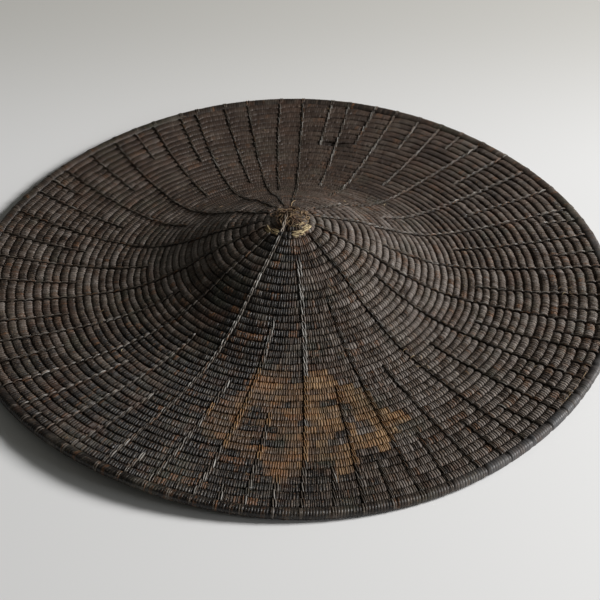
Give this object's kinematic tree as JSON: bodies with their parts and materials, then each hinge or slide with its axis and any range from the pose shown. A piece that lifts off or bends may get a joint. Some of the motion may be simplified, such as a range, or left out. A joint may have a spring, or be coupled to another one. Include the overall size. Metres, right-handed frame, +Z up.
{
  "type": "wide coiled straw hat",
  "caption": "Wide, low hat of wrapped and stitched fibre coils: a hollow cone with a knotted tip, a nearly flat round brim and a thicker rim row it rests on.",
  "frame": {"origin": "middle of the hat on the surface that it rests on", "axes": "+Z up through the tip; -Y is the side towards the viewer, with the lighter patch; +X to the viewer's right"},
  "size_m": [0.45, 0.45, 0.0688],
  "materials": {
    "wrapped_coils": "dark, aged plant strips wrapped round a fibre coil, satin with worn tan spots",
    "rim_wrap": "dark, closely wrapped strips, polished by handling",
    "knot_fibre": "dry, frayed tan fibre, matt"
  },
  "bodies": {
    "root": {"apex_knot": "knot_fibre", "crown_coils": "wrapped_coils", "brim_coils": "wrapped_coils", "rim_coil": "rim_wrap"}
  },
  "joints": []
}
